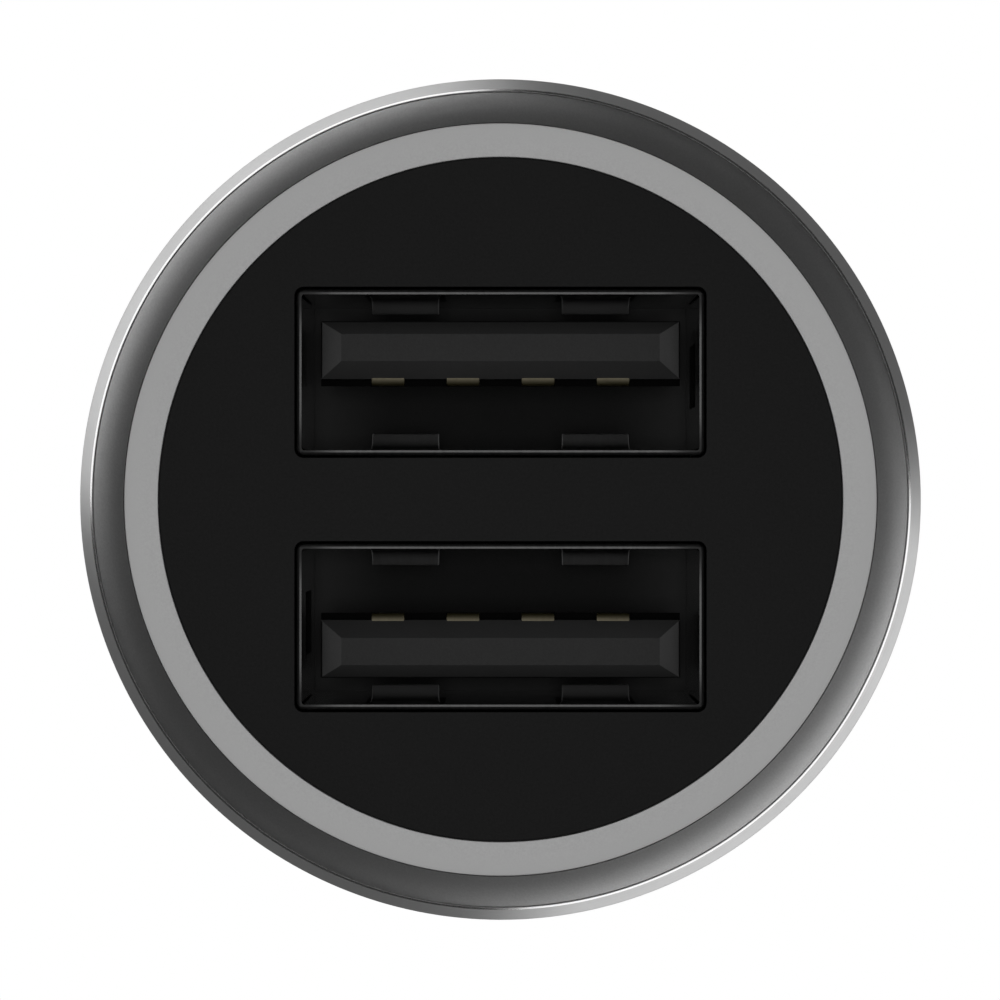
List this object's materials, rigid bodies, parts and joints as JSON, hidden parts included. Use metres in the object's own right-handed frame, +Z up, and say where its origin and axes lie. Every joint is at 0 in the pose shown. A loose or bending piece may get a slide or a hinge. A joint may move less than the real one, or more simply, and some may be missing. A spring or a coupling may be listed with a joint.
{
  "type": "car usb charger plug",
  "caption": "Round aluminium plug charger for a car's 12 V socket: black face with stacked USB ports inside a light ring, barrel with ground springs and a sprung centre contact.",
  "frame": {"origin": "on the plug's axis at the shoulder, the rear face of the head that rests on the socket's rim", "axes": "+Y along the axis into the socket, -Y out of the face with the ports, +Z up across the two ports, +X to the right seen from the face"},
  "size_m": [0.0258, 0.0605, 0.0258],
  "materials": {
    "shell_aluminium": "grey anodised, fine blasted, polished rim",
    "ring_diffuser": "frosted grey translucent",
    "face_black": "matte black",
    "port_steel": "black nickel plated sheet",
    "tongue_black": "moulded black",
    "contact_gold": "dull gold plated",
    "board_green": "solder mask",
    "carrier_black": "moulded",
    "spring_steel": "bright spring steel",
    "nose_black": "moulded, satin",
    "tip_nickel": "nickel plated",
    "terminal_brass": "stamped",
    "ferrite_grey": "sintered ferrite",
    "can_aluminium": "bare can",
    "chip_black": "moulded epoxy",
    "ceramic_white": "ceramic",
    "ceramic_tan": "ceramic"
  },
  "bodies": {
    "housing": {"outer_shell": "shell_aluminium", "light_ring": "ring_diffuser", "face_plate": "face_black", "usb_shell_upper": "port_steel", "usb_shell_lower": "port_steel", "usb_insulator_upper": "tongue_black", "usb_insulator_lower": "tongue_black", "usb_contacts_upper": "contact_gold", "usb_contacts_lower": "contact_gold", "main_board": "board_green", "carrier_upper": "carrier_black", "carrier_lower": "carrier_black", "nose_body": "nose_black", "tip_cap": "nose_black", "tip_spring": "spring_steel", "positive_terminal": "terminal_brass", "power_inductor": "ferrite_grey", "input_capacitor": "can_aluminium", "output_capacitor": "can_aluminium", "converter_chip": "chip_black", "charging_chip": "chip_black", "rectifier": "chip_black", "input_fuse": "ceramic_white", "indicator_leds": "ceramic_white", "chip_capacitors": "ceramic_tan", "chip_resistors": "chip_black"},
    "plunger": {"centre_contact": "tip_nickel"},
    "spring_upper": {"ground_spring_upper": "spring_steel"},
    "spring_lower": {"ground_spring_lower": "spring_steel"}
  },
  "joints": [
    {"name": "centre_contact_press", "type": "slide", "parent": "housing", "child": "plunger", "axis": [0, 1, 0], "range_m": [-0.003, 0], "stiffness_N_per_m": 2000, "springref_m": 0.002, "deforming": ["tip_spring"]},
    {"name": "ground_spring_upper_bend", "type": "hinge", "parent": "housing", "child": "spring_upper", "pos_m": [0, 0.0062, 0.00808], "axis": [1, 0, 0], "range_deg": [-7, 0], "stiffness_Nm_per_rad": 0.3, "springref_deg": 2.86},
    {"name": "ground_spring_lower_bend", "type": "hinge", "parent": "housing", "child": "spring_lower", "pos_m": [0, 0.0062, -0.00808], "axis": [-1, 0, 0], "range_deg": [-7, 0], "stiffness_Nm_per_rad": 0.3, "springref_deg": 2.86}
  ]
}
